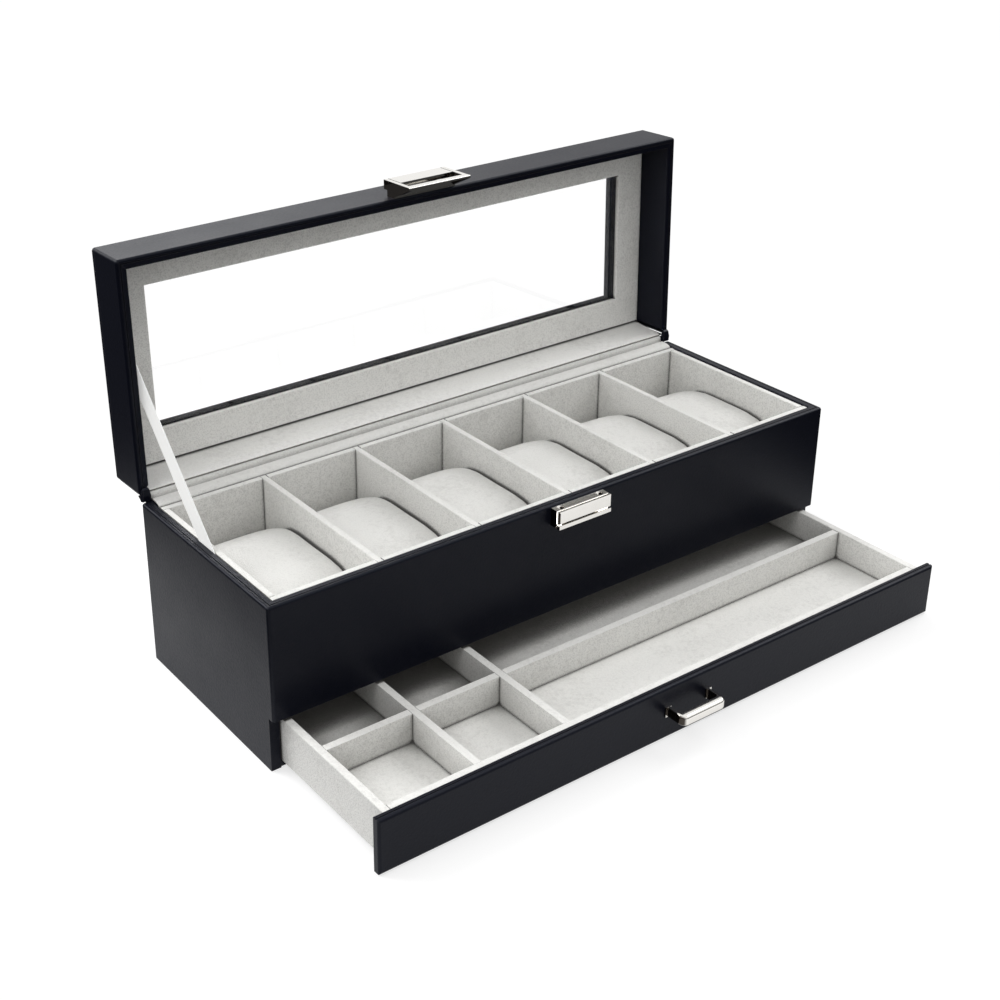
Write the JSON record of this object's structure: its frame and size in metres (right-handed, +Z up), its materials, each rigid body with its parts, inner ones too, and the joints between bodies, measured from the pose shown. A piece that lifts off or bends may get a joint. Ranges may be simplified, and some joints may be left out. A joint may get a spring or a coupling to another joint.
{
  "type": "watch display case",
  "caption": "Leather covered watch case: glazed lid on a cloth hinge, velvet tray with crowned cushions, chrome clasp, and a shallow divided drawer below.",
  "frame": {"origin": "middle of the case's underside, where it stands", "axes": "+X along the case, -Y out of its front where the clasp and drawer are, +Z up"},
  "size_m": [0.32, 0.2242, 0.2016],
  "materials": {
    "black_leather": "fine grained, satin, over board",
    "velvet": "light grey short pile velvet over board",
    "chrome": "polished",
    "glass": "clear",
    "ribbon": "white satin",
    "felt": "black felt",
    "steel": "plain"
  },
  "bodies": {
    "case": {"case_front_panel": "black_leather", "case_left_side": "black_leather", "case_right_side": "black_leather", "case_back_panel": "black_leather", "case_bottom_board": "black_leather", "base_felt": "felt", "case_deck": "velvet", "tray_floor": "velvet", "tray_front_wall": "velvet", "tray_back_wall": "velvet", "tray_left_wall": "velvet", "tray_right_wall": "velvet", "tray_divider_1": "velvet", "tray_divider_2": "velvet", "tray_divider_3": "velvet", "tray_divider_4": "velvet", "tray_divider_5": "velvet", "hinge_cloth": "velvet", "hinge_leather": "black_leather", "ribbon_stay": "ribbon", "clasp_housing": "chrome", "clasp_springs": "steel", "clasp_pin": "chrome", "clasp_screws": "steel"},
    "lid": {"lid_front_wall": "black_leather", "lid_back_wall": "black_leather", "lid_left_wall": "black_leather", "lid_right_wall": "black_leather", "lid_window_frame": "black_leather", "lid_glass": "glass", "lid_velvet_frame": "velvet", "lid_back_lining": "velvet", "clasp_hasp": "chrome", "hasp_catch": "chrome", "hasp_screws": "steel"},
    "drawer": {"drawer_front": "black_leather", "drawer_base": "velvet", "drawer_left_wall": "velvet", "drawer_right_wall": "velvet", "drawer_inner_front": "velvet", "drawer_back_wall": "velvet", "drawer_floor_pad": "velvet", "drawer_divider_long": "velvet", "drawer_divider_short_1": "velvet", "drawer_divider_short_2": "velvet", "drawer_pull": "chrome", "pull_screws": "steel"},
    "clasp_button": {"clasp_push_plate": "chrome"},
    "cushion_1": {"cushion_1": "velvet"},
    "cushion_2": {"cushion_2": "velvet"},
    "cushion_3": {"cushion_3": "velvet"},
    "cushion_4": {"cushion_4": "velvet"},
    "cushion_5": {"cushion_5": "velvet"},
    "cushion_6": {"cushion_6": "velvet"}
  },
  "joints": [
    {"name": "lid_hinge", "type": "hinge", "parent": "case", "child": "lid", "pos_m": [0, 0.0565, 0.0822], "axis": [1, 0, 0], "range_deg": [0, 91.7], "deforming": ["hinge_cloth", "hinge_leather", "ribbon_stay"]},
    {"name": "drawer_slide", "type": "slide", "parent": "case", "child": "drawer", "axis": [0, 1, 0], "range_m": [-0.012, 0.0755]},
    {"name": "clasp_press", "type": "slide", "parent": "case", "child": "clasp_button", "axis": [0, 1, 0], "range_m": [0, 0.0006], "stiffness_N_per_m": 1500, "springref_m": -0.0005, "deforming": ["clasp_springs"]},
    {"name": "cushion_1_lift", "type": "slide", "parent": "case", "child": "cushion_1", "axis": [0, 0, 1], "range_m": [0, 0.03]},
    {"name": "cushion_2_lift", "type": "slide", "parent": "case", "child": "cushion_2", "axis": [0, 0, 1], "range_m": [0, 0.03]},
    {"name": "cushion_3_lift", "type": "slide", "parent": "case", "child": "cushion_3", "axis": [0, 0, 1], "range_m": [0, 0.03]},
    {"name": "cushion_4_lift", "type": "slide", "parent": "case", "child": "cushion_4", "axis": [0, 0, 1], "range_m": [0, 0.03]},
    {"name": "cushion_5_lift", "type": "slide", "parent": "case", "child": "cushion_5", "axis": [0, 0, 1], "range_m": [0, 0.03]},
    {"name": "cushion_6_lift", "type": "slide", "parent": "case", "child": "cushion_6", "axis": [0, 0, 1], "range_m": [0, 0.03]}
  ]
}
